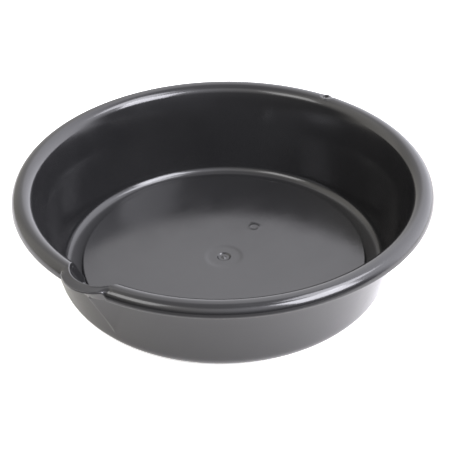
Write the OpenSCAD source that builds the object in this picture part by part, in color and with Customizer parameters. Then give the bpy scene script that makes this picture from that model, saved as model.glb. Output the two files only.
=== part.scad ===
// Round oil drain pan: one injection-moulded shell with a rolled rim, a pouring
// spout, a raised floor inside a foot ring and a hanging hole nearly opposite the spout.
// Millimetres, +Z up. The origin is on the ground at the middle of the foot ring.
// The spout points along -Y and the hanging hole lies a few degrees from +Y.

/* [Basin] */
// Outside diameter over the rolled rim
rim_d = 380; // [375:5:385]
// Height from the ground to the top of the rim
total_h = 96; // [92:2:104]
// Diameter of the circle on which the foot ring meets the outside corner
foot_d = 274; // [270:2:278]
// Radius of the outside bottom corner
corner_r = 17.5; // [15.5:1:19.5]
// Radius of the inside bottom corner
fillet_r = 9; // [8:0.5:10]
// Wall thickness of the moulding
wall_t = 2.5; // [2.3:0.1:2.7]
// Lean of the wall from the vertical
wall_lean = 12.8; // [12:0.4:13.6]
// Lean of the wall where it runs into the rolled rim
flare_lean = 22; // [21:0.5:23]

/* [Rim] */
// Outside radius of the rolled rim
roll_r = 9; // [8.5:0.5:9.5]
// Diameter of the hanging hole
hang_hole_d = 5.5; // [4.5:0.5:6]
// Diameter of the flat boss round the hanging hole
hang_boss_d = 10; // [9:1:11]
// Angle of the hanging hole from +Y, counted towards -X
hang_angle = 2; // [0:1:6]

/* [Floor] */
// Diameter of the raised floor, at its edge
floor_d = 264; // [260:2:266]
// Height of the floor's edge above the ground
floor_z = 12.5; // [11.5:0.5:13.5]
// Height of the groove round the raised floor
groove_z = 7; // [6:0.5:8]
// Fall of the floor from its edge to its middle
floor_fall = 4.5; // [4:0.5:5]
// Width of the dimple that the moulding gate leaves in the middle
gate_d = 12; // [10:1:14]
// Depth of that dimple
gate_depth = 1.2; // [1:0.1:1.4]

/* [Spout] */
// Height at which the spout grows out of the wall
spout_foot_z = 23; // [22:1:24]
// Drop of the pouring lip's top face below the top of the rim
lip_drop = 0.5; // [0.5:0.5:1.5]
// Distance that the lip stands out past the rim
lip_reach = 9; // [8:1:10]
// Radius of the lip's outer edge
lip_r = 30; // [29:1:31]
// Width of the gap that the spout makes in the rolled rim
mouth_w = 46; // [44:1:48]
// Radius of the spout's round collar at the height of the lip
throat_r = 30.5; // [30:0.5:31]
// Lean of the sharp keel under the spout, from the vertical
keel_lean = 27.4; // [27:0.2:27.8]
// Height at which the keel ends under the round collar
keel_top_z = 74; // [72:1:76]

/* [Hidden] */
$fn = 180;
rim_r = rim_d / 2;
foot_r = foot_d / 2;
floor_r = floor_d / 2;
roll_c = [rim_r - roll_r, total_h - roll_r];
corner_c = [foot_r, corner_r];
inner_roll_r = roll_r - wall_t;
roll_step = 10;

// Directions along the wall and along the top of the flare, and across each of them
wall_dir = [sin(wall_lean), cos(wall_lean)];
wall_out = [cos(wall_lean), -sin(wall_lean)];
flare_dir = [sin(flare_lean), cos(flare_lean)];
flare_out = [cos(flare_lean), -sin(flare_lean)];

// Inside face of the wall: straight from wall_foot to wall_top, then an arc to
// flare_top, where it runs smoothly into the rolled rim
wall_foot = corner_c + (corner_r - wall_t) * wall_out;
flare_top = roll_c - roll_r * flare_out;
gap = flare_top - wall_foot;
tangent_l = (gap[1] * wall_dir[0] - gap[0] * wall_dir[1])
    / (flare_dir[1] * wall_dir[0] - flare_dir[0] * wall_dir[1]);
wall_l = (gap[0] - tangent_l * flare_dir[0]) / wall_dir[0];
wall_top = wall_foot + (wall_l - tangent_l) * wall_dir;
flare_r = tangent_l / tan((flare_lean - wall_lean) / 2);
flare_c = wall_top + flare_r * wall_out;

// Centre of the inside bottom corner, which runs smoothly into the wall and the groove
fillet_c = wall_foot - fillet_r * wall_out
    + (groove_z + fillet_r * (1 - sin(wall_lean)) - wall_foot[1]) / cos(wall_lean) * wall_dir;

// Riser between the bottom of the groove and the raised floor
riser_run = 1.5;
groove_r = floor_r + riser_run;

// Spout: a cone with its tip in the wall at spout_foot, of which the collar is the top
spout_foot = [0, -(foot_r + corner_r * wall_out[0]
    + (spout_foot_z - corner_r) * tan(wall_lean))];
lip_z = total_h - lip_drop;
spout_h = lip_z - spout_foot_z;
lip_w = 9.5;
lip_t = 2.5;
lip_y = -(rim_r + lip_reach - lip_r);
throat_y = -(rim_r + lip_reach - lip_w - (throat_r - wall_t));
spout_tilt = atan((throat_y - spout_foot[1]) / spout_h);
spout_axis_l = spout_h / cos(spout_tilt);
cone_angle = atan(throat_r / spout_axis_l);
flank_angle = 58;

// Top and bottom faces of the boss round the hanging hole
boss_top = total_h - 0.4;
boss_bottom = total_h - wall_t - 1;

// Points of an arc round centre c, from one angle to another
function arc(c, r, from, to, steps) =
    [for (i = [0:steps]) let (a = from + (to - from) * i / steps) c + r * [cos(a), sin(a)]];

// Face of the wall from a bottom corner to the rolled rim, set outside the inside face
// by the given amount
function wall_face(c, r, out) = concat(
    arc(c, r, -90, -wall_lean, 8),
    arc(flare_c, flare_r - out, 180 - wall_lean, 180 - flare_lean, 4));

function reversed(points) = [for (i = [len(points) - 1:-1:0]) points[i]];

// The whole section: floor, groove, wall and rolled rim along the inside, then back
// along the outside to the foot ring and the hollows under the groove and the floor
module section_2d() {
    polygon(concat(
        [[0, floor_z - floor_fall], [floor_r, floor_z], [groove_r, groove_z]],
        wall_face(fillet_c, fillet_r, 0),
        arc(roll_c, roll_r, 180 - flare_lean - roll_step, 0, 16),
        arc(roll_c + [roll_r - wall_t / 2, 0], wall_t / 2, -30, -150, 4),
        arc(roll_c, inner_roll_r, 0, 180 - flare_lean - roll_step, 12),
        reversed(wall_face(corner_c, corner_r, wall_t)),
        [[foot_r - wall_t, 0], [foot_r - wall_t, groove_z - wall_t],
            [groove_r - wall_t, groove_z - wall_t], [floor_r - wall_t, floor_z - wall_t],
            [0, floor_z - floor_fall - wall_t]]));
}

// Block as wide as the mouth, from a height and a distance from the middle outwards
module mouth_block(w, y, low) {
    translate([-w / 2, y - rim_r, low]) cube([w, rim_r, total_h]);
}

// Room for the spout: the wall stops at the lip, and the rolled rim stops at the mouth
module rim_gap() {
    mouth_block(mouth_w, -rim_r * 0.7, lip_z);
    mouth_block(mouth_w, 1.5 * roll_r - rim_r, total_h - roll_r - wall_t);
}

// Webs that close the two ends of the rolled rim
module rim_webs() {
    for (side = [-1, 1])
        intersection() {
            rotate_extrude() polygon(arc(roll_c, roll_r - wall_t / 4, 180, 0, 12));
            translate([side * (mouth_w + wall_t) / 2, 0, 0])
                mouth_block(wall_t, -rim_r / 2, 0);
        }
}

// Cone of the spout's collar, set inside its outer face by the given amount
module spout_cone(inset) {
    length = spout_axis_l * 1.5;
    translate([0, spout_foot[1], spout_foot_z]) rotate([-spout_tilt, 0, 0])
        translate([0, 0, inset / sin(cone_angle)])
            cylinder(h = length, r1 = 0, r2 = length * tan(cone_angle));
}

// V-shaped keel under the spout, set inside its outer faces by the given amount
module keel(inset) {
    depth = 34;
    translate([0, spout_foot[1], spout_foot_z]) rotate([keel_lean, 0, 0])
        translate([0, inset / sin(flank_angle), 0]) linear_extrude(total_h)
            polygon([[0, 0], [depth * tan(flank_angle), depth],
                [-depth * tan(flank_angle), depth]]);
}

// Block on the spout's side of the pan, between two heights
module slab(low, high) {
    translate([-rim_r, -rim_r - 10, low]) cube([rim_d, rim_r - 110, high - low]);
}

// Everything inside a face that runs up the middle of the wall
module wall_core() {
    rotate_extrude() polygon(concat([[0, 0]],
        wall_face(corner_c, corner_r - wall_t / 2, wall_t / 2),
        [[flare_top[0] + wall_t / 2, total_h + 1], [0, total_h + 1]]));
}

// Round collar of the spout, between the keel and the lip
module spout_collar() {
    difference() {
        intersection() {
            spout_cone(0);
            slab(keel_top_z, lip_z);
        }
        wall_core();
    }
}

// Sharp keel under the collar
module spout_keel() {
    difference() {
        intersection() {
            keel(0);
            slab(spout_foot_z - 1, keel_top_z + wall_t / 2);
        }
        wall_core();
    }
}

// Lip round the mouth, let into the webs at both ends
module spout_lip() {
    difference() {
        intersection() {
            translate([0, lip_y, lip_z - lip_t]) cylinder(h = lip_t, r = lip_r);
            mouth_block(mouth_w + wall_t, -rim_r * 0.7, 0);
        }
        wall_core();
    }
}

// The space that the oil runs through, from the basin over the lip
module throat() {
    intersection() {
        spout_cone(wall_t);
        slab(keel_top_z + wall_t, total_h + 1);
    }
    intersection() {
        keel(wall_t);
        slab(spout_foot_z, keel_top_z + 1.2 * wall_t);
    }
}

// Flat-faced boss for the hanging hole
module hang_boss() {
    rotate(hang_angle) translate([0, roll_c[0], boss_bottom])
        cylinder(h = boss_top - boss_bottom, d = hang_boss_d);
}

// Hanging hole, with the flat face over its boss
module hang_hole() {
    rotate(hang_angle) translate([0, roll_c[0], roll_c[1]])
        cylinder(h = roll_r * 2, d = hang_hole_d);
    rotate(hang_angle) translate([0, roll_c[0], boss_top])
        cylinder(h = roll_r, d = hang_boss_d);
}

// Round dimple that the gate leaves in the middle of the floor
module gate() {
    sphere_r = (pow(gate_d / 2, 2) + pow(gate_depth, 2)) / (2 * gate_depth);
    translate([0, 0, floor_z - floor_fall - gate_depth + sphere_r]) sphere(sphere_r);
}

// Oil drain pan
module pan() {
    color([0.24, 0.24, 0.25]) difference() {
        union() {
            difference() {
                rotate_extrude() section_2d();
                rim_gap();
            }
            rim_webs();
            spout_collar();
            spout_keel();
            spout_lip();
            hang_boss();
        }
        throat();
        hang_hole();
        gate();
    }
}

pan();
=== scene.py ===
"""Round oil drain pan: one moulded plastic shell, on a pale studio floor.

The shell is a section carried round the middle. Beside the spout the section
changes: the wall reaches out to the keel and the round collar, and the rolled rim
turns into the pouring lip. Lengths are millimetres until a vertex is made.
"""

import math

import bmesh
import bpy
import numpy as np
from mathutils import Matrix, Vector


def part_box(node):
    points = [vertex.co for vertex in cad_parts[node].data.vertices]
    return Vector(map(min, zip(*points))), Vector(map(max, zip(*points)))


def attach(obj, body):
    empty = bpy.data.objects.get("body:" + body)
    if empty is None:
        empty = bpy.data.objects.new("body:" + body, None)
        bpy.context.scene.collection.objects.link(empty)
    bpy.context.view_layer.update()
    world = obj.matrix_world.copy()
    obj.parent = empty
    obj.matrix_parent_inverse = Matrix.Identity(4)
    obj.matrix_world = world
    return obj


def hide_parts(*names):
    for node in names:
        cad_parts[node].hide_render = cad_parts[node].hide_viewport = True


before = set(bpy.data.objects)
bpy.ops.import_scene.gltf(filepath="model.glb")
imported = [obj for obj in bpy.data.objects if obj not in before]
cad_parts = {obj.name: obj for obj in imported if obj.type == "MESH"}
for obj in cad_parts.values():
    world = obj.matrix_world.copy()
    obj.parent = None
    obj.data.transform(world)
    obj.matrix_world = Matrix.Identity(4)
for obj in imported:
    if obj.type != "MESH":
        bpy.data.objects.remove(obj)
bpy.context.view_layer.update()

MM = 0.001

# ---------------------------------------------------------------- the part
LOW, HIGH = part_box("pan")
RIM_R = (HIGH.x - LOW.x) / 2 / MM
RIM_TOP = HIGH.z / MM
WALL_T = 2.5
BEND_R = 0.6
BEND_STEPS = 3
SHARP_ANGLE = math.radians(55)

# Basin
FOOT_R = 137.0
CORNER_R = 17.5
CORNER_C = np.array([FOOT_R, CORNER_R])
FLOOR_R = 132.0
FLOOR_Z = 12.5
FLOOR_FALL = 4.5
GROOVE_R = FLOOR_R + 1.5
GROOVE_Z = 7.0
WALL_LEAN = math.radians(12.8)
WALL_OUT = np.array([math.cos(WALL_LEAN), -math.sin(WALL_LEAN)])
WALL_UP = np.array([math.sin(WALL_LEAN), math.cos(WALL_LEAN)])
WALL_FOOT = CORNER_C + (CORNER_R - WALL_T) * WALL_OUT
FILLET_R = 9.0
FILLET_RUN = (GROOVE_Z + FILLET_R * (1 - WALL_UP[0]) - WALL_FOOT[1]) / WALL_UP[1]
FILLET_C = WALL_FOOT + FILLET_RUN * WALL_UP - FILLET_R * WALL_OUT

# Rolled rim: a full shoulder on the inside, and a tighter roll outside it
ROLL_R = 9.0
ROLL_C = np.array([RIM_R - ROLL_R, RIM_TOP - ROLL_R])
SHOULDER_R = 10.5
SHOULDER_C = np.array([ROLL_C[0] - 0.5, RIM_TOP - SHOULDER_R])
FLARE_LEAN = math.radians(20.0)
FLARE_OUT = np.array([math.cos(FLARE_LEAN), -math.sin(FLARE_LEAN)])
FLARE_UP = np.array([math.sin(FLARE_LEAN), math.cos(FLARE_LEAN)])

# Keel. Its faces fall back by KEEL_SLOPE on each side of a rounded edge
SPOUT_HALF = math.radians(15)
KEEL_FOOT_R = 155.9
KEEL_FOOT_Z = 22.8
KEEL_LEAN = math.radians(27.4)
KEEL_SLOPE = 0.66
KEEL_ROUND = 0.7
ROOT_BLEND = 1.6

# Round collar: a cone from the keel's foot, reached over the keel's top shelf
SHELF_Z = 74.0
SHELF_H = 1.8
THROAT_Y = 161.5
THROAT_R = 28.0
THROAT_BLEND = 1.0
TIP_R = 0.01

# Distance between a leaning face and the one behind it, measured level, for each
# millimetre of wall thickness
KEEL_INSET = 1.3
COLLAR_INSET = 1.07

# Lip: a plate that steps down from the rim's crest and falls a little to its tip
LIP_TOP = RIM_TOP - 0.5
LIP_T = 2.6
LIP_LOW = LIP_TOP - LIP_T
LIP_Y = 169.0
LIP_R = 30.0
LIP_ROUND = 1.2
LIP_STEP = 0.35
LIP_FALL = 0.95
LIP_BEVEL = 0.6
LIP_EDGE = 1.1
LIP_SOFT = 0.3
LIP_CHAMFER = 0.5

# Places, along the rim from the spout's middle, where the roll and the wall under it
# end, and half the width over which each turns into the lip. The roll's top takes
# TOP_BLEND more
ROLL_END = 22.0
ROLL_BLEND = 2.2
TOP_BLEND = 2.8
WALL_END = 26.5
WALL_BLEND = 1.3

# Part of the roll's outer quarter turn that becomes the lip's top; the rest is its edge
LIP_ANGLE = math.radians(45)

# Hanging hole: the radii of the rings round it, and the radius and rise of its edges
HOLE_R = 2.75
HOLE_ANGLE = math.pi + math.radians(2)
HOLE_TOP_RINGS = (6.5, 6.1, 5.7, 5.3, 4.9, 4.2, 3.5, 3.1)
HOLE_TOP_EDGE = ((HOLE_R + 0.08, -0.1), (HOLE_R, -0.35))
HOLE_UNDER_RINGS = (5.5, 5.2, 4.9, 4.6, 3.6, 3.0)
HOLE_UNDER_EDGE = ((HOLE_R, 0.2),)

# Flat pads round the hole: height, depth of the face in the roll, and the outer radius
# and width of the slope round the pad
PAD_TOP = (RIM_TOP - 0.5, 0.0, 6.1, 1.2)
PAD_UNDER = (RIM_TOP - WALL_T - 1.0, WALL_T, 5.7, 0.9)

# Steps of the floor round the gate: depth, radius at the top, and width of the slope
GATE_STEPS = ((0.25, 19.0, 5.0), (1.0, 6.6, 1.6), (-0.8, 2.4, 1.0))

# Round mould mark on the floor: its place, and the radius and relief of its rings
MARK_R = 54.6
MARK_ANGLE = math.pi + math.radians(4.2)
MARK_RINGS = ((5.4, 0.0), (5.0, 0.05), (4.6, 0.1), (4.2, 0.1), (3.8, 0.05), (3.4, 0.0), (1.5, 0.0))


def smooth(t):
    """Rises from 0 to 1 as t does, level at both ends."""
    t = np.clip(t, 0.0, 1.0)
    return t * t * (3 - 2 * t)


def soft_max(a, b, width):
    """The larger of a and b, rounded where they are closer than width.

    Where they are equal, the result is a quarter of the width above them.
    """
    near = np.maximum(width - np.abs(a - b), 0.0) / width
    return np.maximum(a, b) + near * near * width / 4


def arc(centre, radius, start, end, steps):
    """Points of an arc in the section plane; angles in degrees."""
    angle = np.radians(np.linspace(start, end, steps + 1))
    return np.array(centre) + radius * np.stack([np.cos(angle), np.sin(angle)], 1)


def bends(points):
    """A polyline with each inner corner rounded."""
    points = [np.array(p, float) for p in points]
    out = [points[0]]
    for before, here, after in zip(points, points[1:], points[2:]):
        a = (before - here) / np.linalg.norm(before - here)
        b = (after - here) / np.linalg.norm(after - here)
        for t in np.linspace(0, 1, BEND_STEPS + 1):
            out.append(here + BEND_R * ((1 - t) ** 2 * a + t * t * b))
    out.append(points[-1])
    return np.array(out)


def resample(points, count):
    """Count points at even spacing along a polyline."""
    points = np.array(points)
    step = np.linalg.norm(np.diff(points, axis=0), axis=1)
    along = np.concatenate([[0], np.cumsum(step)])
    at = np.linspace(0, along[-1], count)
    return np.stack([np.interp(at, along, points[:, k]) for k in (0, 1)], 1)


# ------------------------------------------------------ the wall's two faces
def wall_face(out):
    """Wall face from its foot to the rim's shoulder, out millimetres outside the inside face."""
    top = SHOULDER_C - SHOULDER_R * FLARE_OUT
    straight, tangent = np.linalg.solve(np.stack([WALL_UP, FLARE_UP], 1), top - WALL_FOOT)
    radius = tangent / math.tan((FLARE_LEAN - WALL_LEAN) / 2)
    centre = WALL_FOOT + (straight - tangent) * WALL_UP + radius * WALL_OUT
    flare = arc(centre, radius - out, 180 - math.degrees(WALL_LEAN),
                180 - math.degrees(FLARE_LEAN), 24)
    return np.concatenate([[WALL_FOOT + out * WALL_OUT], flare])


INSIDE = wall_face(0.0)
OUTSIDE = wall_face(WALL_T)


def circle_r(phi, centre_y, radius):
    """Distance from the middle to the far side of a circle, along direction phi; 0 if it misses."""
    across = centre_y * math.sin(phi)
    reach = np.sqrt(np.maximum(radius**2 - across**2, 0.0))
    return np.where(radius > abs(across), centre_y * math.cos(phi) + reach, 0.0)


def collar_r(phi, z, inset):
    """Distance from the middle to the collar's cone, inset millimetres inside its outer face."""
    share = (z - KEEL_FOOT_Z) / (LIP_TOP - KEEL_FOOT_Z)
    radius = np.maximum((THROAT_R + COLLAR_INSET * WALL_T) * share - COLLAR_INSET * inset, TIP_R)
    return circle_r(phi, KEEL_FOOT_R + (THROAT_Y - KEEL_FOOT_R) * share, radius)


def keel_r(phi, z, inset):
    """Distance from the middle to the keel, inset millimetres inside its outer faces."""
    z = np.minimum(z, SHELF_Z)
    edge = KEEL_FOOT_R + (z - KEEL_FOOT_Z) * math.tan(KEEL_LEAN) - KEEL_INSET * inset
    side = math.hypot(math.sin(phi) * RIM_R, KEEL_ROUND) - KEEL_ROUND
    return edge / (math.cos(phi) + KEEL_SLOPE * side / RIM_R)


def face_r(phi, z, curve, inset):
    """Distance from the middle to the wall or the spout, whichever reaches further.

    Above the shelf the collar falls back to the wall itself, so beside the spout the
    soft maximum stands the wall out by a quarter of ROOT_BLEND, as far as SPOUT_HALF.
    """
    wall = np.interp(z, curve[:, 1], curve[:, 0])
    if abs(phi) > SPOUT_HALF:
        return wall
    keel = keel_r(phi, z, inset)
    collar = np.maximum(collar_r(phi, z, inset), wall)
    spout = keel + (collar - keel) * smooth((z - SHELF_Z) / SHELF_H)
    return soft_max(wall, spout, ROOT_BLEND)


# -------------------------------------------------------------- the section
def mouth(phi, end, blend):
    """1 inside the mouth and 0 outside, changing at this distance along the rim."""
    along = abs(phi) * ROLL_C[0]
    return 1 - smooth((along - end) / (2 * blend) + 0.5)


def floor_z(r):
    """Top of the floor: a shallow dish with the gate's steps in the middle."""
    height = FLOOR_Z - FLOOR_FALL * (1 - (r / FLOOR_R) ** 2)
    for depth, radius, slope in GATE_STEPS:
        height = height - depth * smooth((radius - r) / slope)
    return height


# Radii and heights of the section's rows, closer together where it bends
FLOOR_ROWS = np.concatenate([
    np.arange(36.0, 65.0, 3.0), np.arange(70.0, 127.0, 6.0), [129.5, 130.8]])
WALL_ROWS = np.concatenate([
    [18.5, 20.0, 21.6], np.arange(23.0, 72.0, 1.5), [72.6, 73.4, 73.8, 74.0],
    [74.3, 74.7, 75.1, 75.5, 75.8, 76.5], np.arange(77.5, 84.5, 1.5)])
CORNER_STEPS = 16
CREST_STEP = 10
TOP_STEPS = 24
EDGE_STEPS = 6
UNDER_STEPS = 20


def basin_rows():
    """Floor, riser, groove and the inside corner."""
    floor = np.stack([FLOOR_ROWS, floor_z(FLOOR_ROWS)], 1)
    last_r = FLOOR_R - 0.9
    riser = bends([
        [last_r, floor_z(last_r)], [FLOOR_R, FLOOR_Z],
        [GROOVE_R, GROOVE_Z], [FILLET_C[0], GROOVE_Z]])
    corner = arc(FILLET_C, FILLET_R, -90, -math.degrees(WALL_LEAN), CORNER_STEPS)
    return np.concatenate([floor, riser[:-1], corner])


def foot_rows():
    """Outside corner, foot ring and the hollows under the groove and the floor."""
    corner = arc(CORNER_C, CORNER_R, -math.degrees(WALL_LEAN), -90, CORNER_STEPS)
    foot = FOOT_R - WALL_T
    step = GROOVE_R - WALL_T
    edge = FLOOR_R - WALL_T
    under = FLOOR_ROWS[FLOOR_ROWS < edge - 2][::-1]
    riser = bends([
        [FOOT_R, 0.0], [foot, 0.0], [foot, GROOVE_Z - WALL_T],
        [step, GROOVE_Z - WALL_T], [edge, FLOOR_Z - WALL_T],
        [under[0], floor_z(under[0]) - WALL_T]])
    floor = np.stack([under, floor_z(under) - WALL_T], 1)
    return np.concatenate([corner, riser[1:-1], floor])


def roll_profile():
    """The rolled rim's top, edge and underside."""
    start = 180 - math.degrees(FLARE_LEAN)
    edge_c = ROLL_C + [ROLL_R - WALL_T / 2, 0]
    top = [arc(SHOULDER_C, SHOULDER_R, start, 90, CREST_STEP),
           arc(ROLL_C, ROLL_R, 90, 0, TOP_STEPS - CREST_STEP)[1:]]
    under = [arc(ROLL_C, ROLL_R - WALL_T, 0, 90, UNDER_STEPS // 2),
             arc(SHOULDER_C, SHOULDER_R - WALL_T, 90, start, UNDER_STEPS // 2)[1:]]
    return (np.concatenate(top),
            arc(edge_c, WALL_T / 2, 0, -180, EDGE_STEPS),
            np.concatenate(under))


ROLL = roll_profile()


def lip_plate(start, tip):
    """Top of the lip from the rim's crest to its tip, and how far each point is round its edge.

    The step down from the crest is over in the first eighth of the way out.
    """
    turn_by = np.linspace(0, 1, TOP_STEPS - CREST_STEP + 1) * math.pi / 2
    out = np.minimum(np.sin(turn_by) / math.sin(LIP_ANGLE), 1.0)
    down = np.maximum(turn_by - LIP_ANGLE, 0.0) / (math.pi / 2 - LIP_ANGLE)
    r = start[0] + (tip - LIP_BEVEL - start[0]) * out + LIP_SOFT * smooth(3 * down)
    z = start[1] - LIP_STEP * smooth(8 * out) - LIP_FALL * out - LIP_BEVEL * down
    return np.stack([r, z], 1), down


def rim_rows(phi):
    """The rolled rim, turning into the flat lip inside the mouth."""
    top, edge, under = ROLL
    top = np.array(top)

    # The throat cuts into the shoulder, with a rounded edge at the crest
    shoulder = np.arange(len(top)) <= CREST_STEP
    over = np.clip(top[:, 1] - (RIM_TOP - LIP_ROUND), 0.0, LIP_ROUND)
    ease = LIP_ROUND - np.sqrt(LIP_ROUND**2 - over**2)
    inner = soft_max(top[:, 0], collar_r(phi, top[:, 1], WALL_T) + ease, THROAT_BLEND)
    top[:, 0] = np.where(shoulder, inner, top[:, 0])

    tip = circle_r(phi, LIP_Y, LIP_R)
    plate, down = lip_plate(top[CREST_STEP], tip)
    share = mouth(phi, ROLL_END, ROLL_BLEND + TOP_BLEND * (1 - smooth(2 * down)))
    top[CREST_STEP:] += (plate - top[CREST_STEP:]) * share[:, None]

    chamfer_r = tip - LIP_CHAMFER
    front = resample([
        [tip - LIP_SOFT, LIP_TOP - LIP_EDGE], [tip, LIP_LOW + LIP_SOFT], [chamfer_r, LIP_LOW]],
        len(edge))
    root = face_r(phi, LIP_LOW, OUTSIDE, 0.0)
    flat = resample([[chamfer_r, LIP_LOW], [root, LIP_LOW]], len(under))
    share = mouth(phi, ROLL_END, ROLL_BLEND)
    edge = edge + (front - edge) * share
    under = under + (flat - under) * share
    return np.concatenate([top, edge[1:], under[1:]])


def wall_rows(phi, curve, inset, top):
    """One face of the wall, from the bottom corner to the given top height."""
    squeeze = (top - SHELF_Z) / (curve[-1, 1] - SHELF_Z)
    z = np.where(WALL_ROWS > SHELF_Z, SHELF_Z + (WALL_ROWS - SHELF_Z) * squeeze, WALL_ROWS)
    return np.stack([face_r(phi, z, curve, inset), z], 1)


def section(phi):
    """The whole section at direction phi, from the floor's top to its underside."""
    in_top = INSIDE[-1, 1]
    out_top = OUTSIDE[-1, 1]
    out_top = out_top + (LIP_LOW - out_top) * mouth(phi, WALL_END, WALL_BLEND)
    inside = wall_rows(phi, INSIDE, WALL_T, in_top)
    outside = wall_rows(phi, OUTSIDE, 0.0, out_top)
    return np.concatenate([basin_rows(), inside, rim_rows(phi), outside[::-1], foot_rows()])


# ------------------------------------------------------------- the stations
HALF_STATIONS = 224


def stations():
    """Directions at which the section is taken: close together by the spout."""
    near = np.concatenate([
        [0, 0.35, 0.7, 1.1, 1.6, 2.2, 3.0], np.arange(4.0, 17.0, 1.0),
        np.arange(17.0, 30.0, 0.5), np.arange(30.0, 37.0, 1.0), [38.3, 40.0]])
    far = np.linspace(42.0, math.pi * ROLL_C[0], HALF_STATIONS + 1 - len(near))
    right = np.concatenate([near, far]) / ROLL_C[0]
    return np.concatenate([right, -right[-2:0:-1]])


def columns_about(angles, phi, reach):
    """The columns on both sides of direction phi, and the one nearest to it."""
    middle = min(range(len(angles)), key=lambda k: abs(math.remainder(angles[k] - phi, math.tau)))
    return list(range(middle - reach, middle + reach + 1))


def turn(r, z, phi):
    """A point in the part's frame, in millimetres; phi is counted from -Y towards +X."""
    return (r * math.sin(phi), -r * math.cos(phi), z)


# ------------------------------------------------------------ mesh building
# Rings that close the middle of the floor, closer together on the gate's steps. Their
# points are halved when the spacing is below LEAST_SPACING, down to LEAST_COLUMNS
FLOOR_RINGS = (33, 30, 27, 24, 22, 20.5, 19.5, 18.8, 18.0, 17.0, 16.0, 15.0, 14.2, 12, 10, 8,
               7.2, 6.7, 6.4, 6.0, 5.6, 5.2, 4.9, 4.4, 3.4, 2.7, 2.4, 2.1, 1.8, 1.5, 1.3, 0.9)
UNDER_RINGS = (30, 24, 18, 12, 6, 2)
UNDER_FLAT_R = 20.0
LEAST_SPACING = 0.45
LEAST_COLUMNS = 60

# Blocks of columns and rows that make room for the hanging hole and the floor's mark
HOLE_REACH = 3
HOLE_ROWS = 13
HOLE_TOP_SKIP = 6
HOLE_UNDER_SKIP = 2
MARK_REACH = 8
MARK_ROWS = range(4, 10)


def add(bm, point):
    return bm.verts.new(Vector(point) * MM)


def join(bm, ring_a, ring_b):
    """Quads between two closed rings of vertices of equal length."""
    for k in range(len(ring_a)):
        n = (k + 1) % len(ring_a)
        bm.faces.new((ring_a[k], ring_a[n], ring_b[n], ring_b[k]))


def join_half(bm, ring, inner):
    """Faces between a closed ring and one inside it with half as many vertices."""
    for k in range(len(inner)):
        n = (k + 1) % len(inner)
        bm.faces.new((ring[2 * k], ring[2 * k + 1], ring[(2 * k + 2) % len(ring)],
                      inner[n], inner[k]))


def fan(bm, ring, point):
    """Triangles from a closed ring to a new vertex in its middle."""
    middle = add(bm, point)
    for k in range(len(ring)):
        bm.faces.new((ring[k], ring[(k + 1) % len(ring)], middle))


def close_floor(bm, ring, angles, height, radii):
    """Rings from the given one in to the middle, each with half the points when they get close."""
    for r in radii:
        spacing = math.tau * r / len(angles)
        halve = spacing < LEAST_SPACING and len(angles) > LEAST_COLUMNS
        if halve:
            angles = angles[::2]
        inner = [add(bm, turn(r, height(r), a)) for a in angles]
        if halve:
            join_half(bm, ring, inner)
        else:
            join(bm, ring, inner)
        ring = inner
    fan(bm, ring, (0, 0, height(0.0)))


def cut_block(bm, grid, columns, rows):
    """Removes a block of the grid and returns the loop round it."""
    inside = [grid[c][r] for c in columns[1:-1] for r in rows[1:-1]]
    loop = ([grid[c][rows[0]] for c in columns] + [grid[columns[-1]][r] for r in rows[1:]]
            + [grid[c][rows[-1]] for c in columns[-2::-1]]
            + [grid[columns[0]][r] for r in rows[-2:0:-1]])
    bmesh.ops.delete(bm, geom=inside, context="VERTS")
    return loop


def ring_in(bm, loop, centre, rings):
    """Round rings inside a loop; each is a radius and a function for the height there."""
    centre = Vector(centre)

    def bearing(v):
        return math.atan2(v.co.y / MM - centre.y, v.co.x / MM - centre.x)

    loop = sorted(loop, key=bearing)
    start = bearing(loop[0])
    count = len(loop)
    for radius, height in rings:
        ring = []
        for k in range(count):
            a = start + math.tau * k / count
            x = centre.x + radius * math.cos(a)
            y = centre.y + radius * math.sin(a)
            ring.append(add(bm, (x, y, height(x, y, radius))))
        join(bm, loop, ring)
        loop = ring
    return loop


def roll_z(x, y, depth):
    """Height of the rolled rim at a plan point, this deep under its top face."""
    far = math.hypot(x, y)
    across = max(far - ROLL_C[0], 0.0) + min(far - SHOULDER_C[0], 0.0)
    radius = ROLL_R if across > 0 else SHOULDER_R
    return RIM_TOP - radius + math.sqrt((radius - depth)**2 - across**2)


def pad_face(level, depth, outer_r, slope):
    """Height of a face of the roll, turning into a flat pad inside outer_r."""
    def height(x, y, r):
        share = smooth((outer_r - r) / slope)
        return roll_z(x, y, depth) * (1 - share) + level * share
    return height


def hole_rings(face, radii, edge):
    """Rings on a face round the hole, and those of its edge, raised from the face."""
    def raised(rise):
        return lambda x, y, r: face(x, y, r) + rise

    return [(r, face) for r in radii] + [(r, raised(rise)) for r, rise in edge]


def hanging_hole(bm, grid, angles, top_row, under_row):
    """The hole through the rim, almost opposite the spout, with its pad."""
    columns = columns_about(angles, HOLE_ANGLE, HOLE_REACH)
    centre = turn(ROLL_C[0], 0, HOLE_ANGLE)[:2]
    top = cut_block(bm, grid, columns, range(top_row, top_row + HOLE_ROWS))
    top = ring_in(bm, top, centre, hole_rings(pad_face(*PAD_TOP), HOLE_TOP_RINGS, HOLE_TOP_EDGE))
    low = cut_block(bm, grid, columns, range(under_row, under_row + HOLE_ROWS))
    low = ring_in(bm, low, centre,
                  hole_rings(pad_face(*PAD_UNDER), HOLE_UNDER_RINGS, HOLE_UNDER_EDGE))
    join(bm, top, low)


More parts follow.
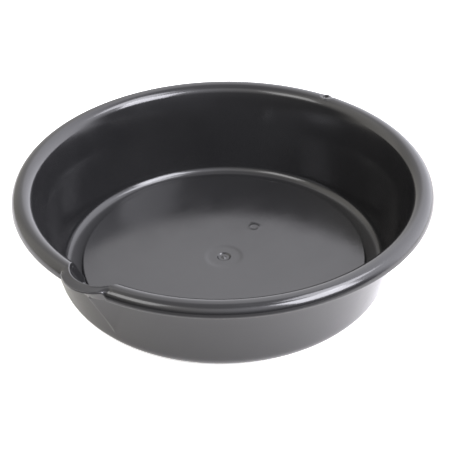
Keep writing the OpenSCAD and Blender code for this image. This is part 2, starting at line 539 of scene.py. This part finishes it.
def floor_mark(bm, grid, angles):
    """A plain round mark on the floor."""
    def height(relief):
        return lambda x, y, r: floor_z(math.hypot(x, y)) + relief

    centre = turn(MARK_R, 0, MARK_ANGLE)[:2]
    loop = cut_block(bm, grid, columns_about(angles, MARK_ANGLE, MARK_REACH), MARK_ROWS)
    loop = ring_in(bm, loop, centre, [(radius, height(relief)) for radius, relief in MARK_RINGS])
    fan(bm, loop, (*centre, floor_z(MARK_R)))


def build_pan():
    bm = bmesh.new()
    angles = stations()
    grid = [[add(bm, turn(r, z, phi)) for r, z in section(phi)] for phi in angles]
    for c in range(len(grid)):
        n = (c + 1) % len(grid)
        for r in range(len(grid[c]) - 1):
            bm.faces.new((grid[c][r], grid[n][r], grid[n][r + 1], grid[c][r + 1]))
    close_floor(bm, [column[0] for column in grid], angles, floor_z, FLOOR_RINGS)
    close_floor(bm, [column[-1] for column in grid], angles,
                lambda r: floor_z(max(r, UNDER_FLAT_R)) - WALL_T, UNDER_RINGS)
    top_row = len(basin_rows()) + len(WALL_ROWS)
    under_row = top_row + TOP_STEPS + EDGE_STEPS
    hanging_hole(bm, grid, angles, top_row + HOLE_TOP_SKIP, under_row + HOLE_UNDER_SKIP)
    floor_mark(bm, grid, angles)
    bmesh.ops.recalc_face_normals(bm, faces=bm.faces)
    mesh = bpy.data.meshes.new("pan_shell")
    bm.to_mesh(mesh)
    bm.free()
    mesh.shade_smooth()
    mesh.set_sharp_from_angle(angle=SHARP_ANGLE)
    return mesh


# -------------------------------------------------------------- shader nodes
def nodes_of(owner):
    """The emptied node tree of a material or a world."""
    owner.use_nodes = True
    tree = owner.node_tree
    tree.nodes.clear()
    return tree


def node(tree, kind, inputs=None, **settings):
    """A new node with its settings and input values."""
    made = tree.nodes.new(kind)
    for name, value in settings.items():
        setattr(made, name, value)
    for name, value in (inputs or {}).items():
        made.inputs[name].default_value = value
    return made


def ramp(tree, source, low, high, out_low, out_high):
    """Maps source from low..high to out_low..out_high, smoothly, and returns the socket."""
    made = node(tree, "ShaderNodeMapRange", {
        "From Min": low, "From Max": high, "To Min": out_low, "To Max": out_high},
        interpolation_type="SMOOTHSTEP")
    tree.links.new(source, made.inputs["Value"])
    return made.outputs["Result"]


def noise(tree, where, scale, detail, rough=0.5):
    """Noise at a position, from 0 to 1."""
    made = node(tree, "ShaderNodeTexNoise", {
        "Scale": scale, "Detail": detail, "Roughness": rough})
    tree.links.new(where, made.inputs["Vector"])
    return made.outputs["Fac"]


def mix(tree, factor, a, b):
    """Colour a or b, or what lies between; each is a tuple or a socket."""
    made = node(tree, "ShaderNodeMix", data_type="RGBA")
    tree.links.new(factor, made.inputs["Factor"])
    for socket, colour in ((made.inputs["A"], a), (made.inputs["B"], b)):
        if isinstance(colour, tuple):
            socket.default_value = (*colour, 1)
        else:
            tree.links.new(colour, socket)
    return made.outputs["Result"]


def calc(tree, operation, a, b):
    """One sum on two sockets or numbers."""
    made = node(tree, "ShaderNodeMath", operation=operation)
    for socket, value in zip(made.inputs, (a, b)):
        if isinstance(value, (int, float)):
            socket.default_value = value
        else:
            tree.links.new(value, socket)
    return made.outputs[0]


def along(tree, where, direction):
    """How far a position or direction goes along the given direction."""
    made = node(tree, "ShaderNodeVectorMath", operation="DOT_PRODUCT")
    made.inputs[1].default_value = direction
    tree.links.new(where, made.inputs[0])
    return made.outputs["Value"]


def camera_ray(tree):
    """1 on rays that come straight from the camera, and 0 on all others."""
    return node(tree, "ShaderNodeLightPath").outputs["Is Camera Ray"]


def unless_seen(tree, value):
    """The value, or 1 on rays that come straight from the camera."""
    made = node(tree, "ShaderNodeMix", {"B": 1.0})
    tree.links.new(camera_ray(tree), made.inputs["Factor"])
    tree.links.new(value, made.inputs["A"])
    return made.outputs["Result"]


# ---------------------------------------------------------------- the plastic
BLACK = (0.0085, 0.0085, 0.009)
FADED = (0.0105, 0.0105, 0.011)
# Painted highlight: the paler colour given to convex edges
PALE_EDGE_HIGHLIGHT = (0.05, 0.05, 0.051)


def moulded_plastic():
    """Black plastic with fine grain, slow swell, uneven gloss, and convex edges painted paler as a
    painted highlight.
    """
    material = bpy.data.materials.new("pan_plastic")
    tree = nodes_of(material)
    link = tree.links.new
    where = node(tree, "ShaderNodeTexCoord").outputs["Object"]

    patches = ramp(tree, noise(tree, where, 9.0, 4.0), 0.35, 0.65, 0.0, 1.0)
    colour = mix(tree, patches, BLACK, FADED)
    # Painted highlight: convex edges, found by pointiness, are painted paler to stand for the light
    # lines along the crests and the keel
    edge = node(tree, "ShaderNodeNewGeometry").outputs["Pointiness"]
    colour = mix(tree, ramp(tree, edge, 0.515, 0.56, 0.0, 0.6), colour, PALE_EDGE_HIGHLIGHT)
    smudge = ramp(tree, noise(tree, where, 30.0, 6.0, 0.6), 0.3, 0.7, 0.13, 0.19)

    grain = node(tree, "ShaderNodeBump", {"Strength": 0.10, "Distance": 0.00008})
    link(noise(tree, where, 2600.0, 2.0), grain.inputs["Height"])
    swell = node(tree, "ShaderNodeBump", {"Strength": 0.35, "Distance": 0.0006})
    link(noise(tree, where, 16.0, 1.0), swell.inputs["Height"])
    link(grain.outputs["Normal"], swell.inputs["Normal"])

    shader = node(tree, "ShaderNodeBsdfPrincipled", {"IOR": 1.5})
    link(colour, shader.inputs["Base Color"])
    link(smudge, shader.inputs["Roughness"])
    link(swell.outputs["Normal"], shader.inputs["Normal"])
    output = node(tree, "ShaderNodeOutputMaterial")
    link(shader.outputs["BSDF"], output.inputs["Surface"])
    return material


# ----------------------------------------------------------------- the camera
VIEW_AZIMUTH = math.radians(37.3)
VIEW_ELEVATION = math.radians(34.77)
VIEW_ROLL = math.radians(-1.015)
VIEW_DISTANCE = 1.140
VIEW_RIGHT = 0.0015
VIEW_HEIGHT = 0.0438
LENS = 98.5


def view_axes():
    """Right, up and backward directions of the camera, before it is rolled."""
    a, e = VIEW_AZIMUTH, VIEW_ELEVATION
    right = Vector((math.cos(a), math.sin(a), 0))
    back = Vector((math.sin(a) * math.cos(e), -math.cos(a) * math.cos(e), math.sin(e)))
    return right, back.cross(right), back


def level_back():
    """Level direction from the pan towards the camera."""
    back = view_axes()[2]
    return Vector((back.x, back.y, 0)).normalized()


def make_camera():
    right, up, back = view_axes()
    aim = right * VIEW_RIGHT + Vector((0, 0, VIEW_HEIGHT))
    c, s = math.cos(VIEW_ROLL), math.sin(VIEW_ROLL)
    data = bpy.data.cameras.new("camera")
    data.lens = LENS
    data.sensor_width = 36
    data.clip_start = 0.05
    camera = bpy.data.objects.new("camera", data)
    bpy.context.scene.collection.objects.link(camera)
    turned = Matrix((c * right + s * up, c * up - s * right, back)).transposed()
    camera.matrix_world = Matrix.Translation(aim + back * VIEW_DISTANCE) @ turned.to_4x4()
    bpy.context.scene.camera = camera


# ----------------------------------------------------------------- the studio
WHITE = (1.0, 1.0, 1.0)
WARM = (1.0, 0.965, 0.90)
COOL = (0.97, 0.965, 1.04)
PAPER = (0.91, 0.90, 0.88)
PAPER_R = 6.0
PAPER_GLOW = 0.7

# Ramps: the two ends, in metres or as a share of a direction, and the values there
PAPER_DIMS = (0.26, 0.34, 1.0, 0.3)
SKY = 2.4
MORE_ON_RIGHT = (-0.2, 1.0, 0.0, 1.9)
LESS_ON_LEFT = (0.2, -0.9, 0.0, -0.6)
LOW_DOWN = (0.10, 0.85, 1.0, 0.05)
IN_FRONT = (-0.15, 0.35, 0.0, 0.95)
OVERHEAD = (0.80, 0.97, 1.0, 0.35)
BEHIND = (-0.45, -0.7, 0.0, 0.4)
TO_THE_LEFT = (0.1, -0.2, 0.0, 1.0)
WARM_TO_COOL = (-0.7, 0.3, 0.0, 1.0)

# Softboxes: azimuth from the camera to its right, elevation, size, radiance, colour
LIGHTS = {
    "key": (52, 42, (0.85, 0.85), 15, COOL),
    "side": (85, 62, (0.7, 0.7), 9, COOL),
    "fill": (-52, 46, (0.7, 0.6), 5, WHITE)}
LIGHT_DISTANCE = 1.6


def paper_surface():
    """White paper. Beyond its front edge, only reflections see it, and see it dim."""
    material = bpy.data.materials.new("studio_floor")
    tree = nodes_of(material)
    link = tree.links.new
    where = node(tree, "ShaderNodeTexCoord").outputs["Object"]
    front = ramp(tree, along(tree, where, level_back()), *PAPER_DIMS)
    colour = node(tree, "ShaderNodeVectorMath", operation="SCALE")
    colour.inputs[0].default_value = PAPER
    link(unless_seen(tree, front), colour.inputs["Scale"])
    paper = node(tree, "ShaderNodeBsdfDiffuse")
    link(colour.outputs["Vector"], paper.inputs["Color"])
    glow = node(tree, "ShaderNodeEmission", {"Color": (*WHITE, 1)})
    link(calc(tree, "MULTIPLY", camera_ray(tree), PAPER_GLOW), glow.inputs["Strength"])
    both = node(tree, "ShaderNodeAddShader")
    link(paper.outputs[0], both.inputs[0])
    link(glow.outputs[0], both.inputs[1])
    output = node(tree, "ShaderNodeOutputMaterial")
    link(both.outputs[0], output.inputs["Surface"])
    return material


def make_floor():
    mesh = bpy.data.meshes.new("floor")
    bm = bmesh.new()
    bmesh.ops.create_circle(bm, cap_ends=True, radius=PAPER_R, segments=96)
    bm.to_mesh(mesh)
    bm.free()
    mesh.materials.append(paper_surface())
    floor = bpy.data.objects.new("studio_floor", mesh)
    bpy.context.scene.collection.objects.link(floor)


def make_world():
    """Soft light all round: more on the right, less overhead, low in front and back left."""
    world = bpy.data.worlds.new("studio")
    bpy.context.scene.world = world
    tree = nodes_of(world)
    where = node(tree, "ShaderNodeTexCoord").outputs["Generated"]
    right = along(tree, where, view_axes()[0])
    front = along(tree, where, level_back())
    height = along(tree, where, (0, 0, 1))

    sides = calc(tree, "ADD", ramp(tree, right, *MORE_ON_RIGHT), ramp(tree, right, *LESS_ON_LEFT))
    strength = calc(tree, "ADD", sides, SKY)
    band = calc(tree, "MULTIPLY", ramp(tree, height, *LOW_DOWN), ramp(tree, front, *IN_FRONT))
    strength = calc(tree, "MULTIPLY", strength, calc(tree, "SUBTRACT", 1.0, band))
    strength = calc(tree, "MULTIPLY", strength, ramp(tree, height, *OVERHEAD))
    shade = calc(tree, "MULTIPLY", ramp(tree, front, *BEHIND), ramp(tree, right, *TO_THE_LEFT))
    strength = calc(tree, "MULTIPLY", strength, calc(tree, "SUBTRACT", 1.0, shade))

    sky = node(tree, "ShaderNodeBackground")
    tint = mix(tree, ramp(tree, right, *WARM_TO_COOL), WARM, COOL)
    tree.links.new(tint, sky.inputs["Color"])
    tree.links.new(unless_seen(tree, strength), sky.inputs["Strength"])
    output = node(tree, "ShaderNodeOutputWorld")
    tree.links.new(sky.outputs["Background"], output.inputs["Surface"])


def softbox(name, azimuth, elevation, size, radiance, colour):
    """A rectangular light aimed at the pan."""
    a, e = VIEW_AZIMUTH + math.radians(azimuth), math.radians(elevation)
    back = Vector((math.sin(a) * math.cos(e), -math.cos(a) * math.cos(e), math.sin(e)))
    data = bpy.data.lights.new(name, "AREA")
    data.shape = "RECTANGLE"
    data.size, data.size_y = size
    data.energy = radiance * math.pi * size[0] * size[1]
    data.color = colour
    light = bpy.data.objects.new(name, data)
    bpy.context.scene.collection.objects.link(light)
    light.location = back * LIGHT_DISTANCE
    light.rotation_mode = "QUATERNION"
    light.rotation_quaternion = back.to_track_quat("Z", "Y")


# -------------------------------------------------------------------- scene
pan = bpy.data.objects.new("pan_shell", build_pan())
bpy.context.scene.collection.objects.link(pan)
pan.data.materials.append(moulded_plastic())
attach(pan, "root")
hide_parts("pan")

make_floor()
make_world()
for light_name, light_values in LIGHTS.items():
    softbox(light_name, *light_values)
make_camera()

bpy.context.scene.view_settings.view_transform = "Standard"
